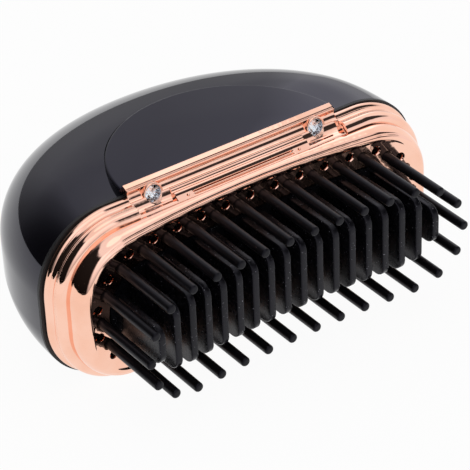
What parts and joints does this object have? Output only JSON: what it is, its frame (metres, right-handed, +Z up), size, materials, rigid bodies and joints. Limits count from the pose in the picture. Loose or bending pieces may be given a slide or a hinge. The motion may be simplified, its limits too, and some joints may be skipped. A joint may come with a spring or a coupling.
{
  "type": "hair straightening brush",
  "caption": "Palm-held hair straightening brush: pebble-shaped casing, stepped band with bridge trim, concave face, outer pins and heated blades.",
  "frame": {"origin": "on the flat resting face, below the middle of the casing's length and 9 mm behind the casing's front plane", "axes": "+X along the brush's face, -Y the way the pins point, +Z up from the resting face"},
  "size_m": [0.1158, 0.0941, 0.0508],
  "materials": {
    "casing_black": "high gloss black",
    "panel_black": "high gloss black",
    "gasket_rubber": "satin",
    "rose_gold": "vacuum plated rose gold, mirror bright",
    "clear_glass": "faceted, clear",
    "pin_black": "satin black",
    "inner_plastic": "moulded black",
    "coated_aluminium": "satin black coating",
    "ceramic": "fired ceramic",
    "steel": "plated",
    "mica": "pressed mica board",
    "cell_wrap": "shrink wrapped",
    "circuit_board": "solder mask green",
    "chip_black": "moulded black",
    "white_plastic": "white",
    "lens_plastic": "milky",
    "wire_red": "insulated wire"
  },
  "bodies": {
    "brush": {"main_shell": "casing_black", "top_panel": "panel_black", "shell_gasket": "gasket_rubber", "outer_band": "rose_gold", "bridge_trim": "rose_gold", "left_stone": "clear_glass", "right_stone": "clear_glass", "face_plate": "rose_gold", "outer_pins": "pin_black", "pin_frame": "inner_plastic", "heating_blades": "coated_aluminium", "heater_base": "coated_aluminium", "ceramic_heaters": "ceramic", "heater_clamp": "steel", "clamp_screws": "steel", "thermistor": "ceramic", "thermal_fuse": "ceramic", "heat_shield": "mica", "frame_screws": "steel", "battery_cell": "cell_wrap", "cell_tabs": "steel", "battery_tray": "inner_plastic", "tray_screws": "steel", "control_board": "circuit_board", "board_screws": "steel", "board_chips": "chip_black", "tact_switch": "chip_black", "status_led": "white_plastic", "indicator_lens": "lens_plastic", "charging_socket": "steel", "battery_leads": "wire_red", "heater_leads": "wire_red"},
    "button": {"power_button": "panel_black", "switch_plunger": "white_plastic"}
  },
  "joints": [
    {"name": "power_button_press", "type": "slide", "parent": "brush", "child": "button", "axis": [-1, 0, 0], "range_m": [0, 0.0005], "stiffness_N_per_m": 2000}
  ]
}
